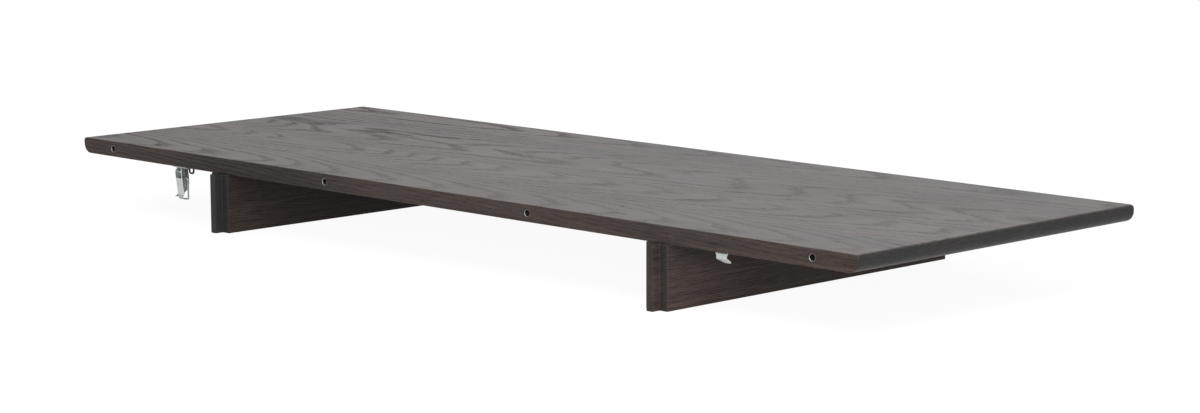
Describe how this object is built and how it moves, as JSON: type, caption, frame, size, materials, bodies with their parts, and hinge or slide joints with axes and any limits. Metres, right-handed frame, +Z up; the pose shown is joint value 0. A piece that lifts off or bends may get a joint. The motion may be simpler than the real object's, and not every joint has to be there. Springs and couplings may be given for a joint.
{
  "type": "table extension leaf",
  "caption": "Loose extension leaf for a dining table: dark oak board on aprons with tongue and groove ends, bushed sockets, pegs, and a toggle latch and a keeper under each long edge.",
  "frame": {"origin": "on the floor plane under the middle of the leaf, with the aprons standing on it", "axes": "+X along the long edges to the right end, +Y from the near edge with the sockets to the far edge with the pegs, +Z up"},
  "size_m": [1.4, 0.524, 0.099],
  "materials": {
    "smoked_oak_board": "satin lacquer",
    "smoked_oak_apron": "satin lacquer",
    "zinc_plated_steel": "bright zinc plate",
    "spring_wire": "dark oiled",
    "bush_metal": "satin nickel"
  },
  "bodies": {
    "leaf": {"leaf_board": "smoked_oak_board", "left_apron": "smoked_oak_apron", "right_apron": "smoked_oak_apron", "socket_bush_1": "bush_metal", "socket_bush_2": "bush_metal", "socket_bush_3": "bush_metal", "socket_bush_4": "bush_metal", "peg_1": "bush_metal", "peg_2": "bush_metal", "peg_3": "bush_metal", "peg_4": "bush_metal", "left_latch_base": "zinc_plated_steel", "left_latch_hoop": "spring_wire", "left_lever_pin": "zinc_plated_steel", "left_keeper": "zinc_plated_steel", "left_apron_screw_1": "zinc_plated_steel", "left_apron_screw_2": "zinc_plated_steel", "left_apron_screw_3": "zinc_plated_steel", "left_latch_screw_1": "zinc_plated_steel", "left_latch_screw_2": "zinc_plated_steel", "left_latch_screw_3": "zinc_plated_steel", "left_latch_screw_4": "zinc_plated_steel", "left_keeper_screw_1": "zinc_plated_steel", "left_keeper_screw_2": "zinc_plated_steel", "right_latch_base": "zinc_plated_steel", "right_latch_hoop": "spring_wire", "right_lever_pin": "zinc_plated_steel", "right_keeper": "zinc_plated_steel", "right_apron_screw_1": "zinc_plated_steel", "right_apron_screw_2": "zinc_plated_steel", "right_apron_screw_3": "zinc_plated_steel", "right_latch_screw_1": "zinc_plated_steel", "right_latch_screw_2": "zinc_plated_steel", "right_latch_screw_3": "zinc_plated_steel", "right_latch_screw_4": "zinc_plated_steel", "right_keeper_screw_1": "zinc_plated_steel", "right_keeper_screw_2": "zinc_plated_steel"},
    "left_lever": {"left_lever": "zinc_plated_steel"},
    "left_bail": {"left_bail": "zinc_plated_steel"},
    "right_lever": {"right_lever": "zinc_plated_steel"},
    "right_bail": {"right_bail": "zinc_plated_steel"}
  },
  "joints": [
    {"name": "left_lever_hinge", "type": "hinge", "parent": "leaf", "child": "left_lever", "pos_m": [-0.493, -0.241, 0.0695], "axis": [1, 0, 0], "range_deg": [-86, 82]},
    {"name": "left_bail_hinge", "type": "hinge", "parent": "left_lever", "child": "left_bail", "pos_m": [-0.493, -0.2384, 0.06179], "axis": [1, 0, 0], "range_deg": [-74, 8]},
    {"name": "right_lever_hinge", "type": "hinge", "parent": "leaf", "child": "right_lever", "pos_m": [0.493, 0.241, 0.0695], "axis": [-1, 0, 0], "range_deg": [-168, 0]},
    {"name": "right_bail_hinge", "type": "hinge", "parent": "right_lever", "child": "right_bail", "pos_m": [0.493, 0.233, 0.071], "axis": [-1, 0, 0], "range_deg": [-178, 0]}
  ]
}
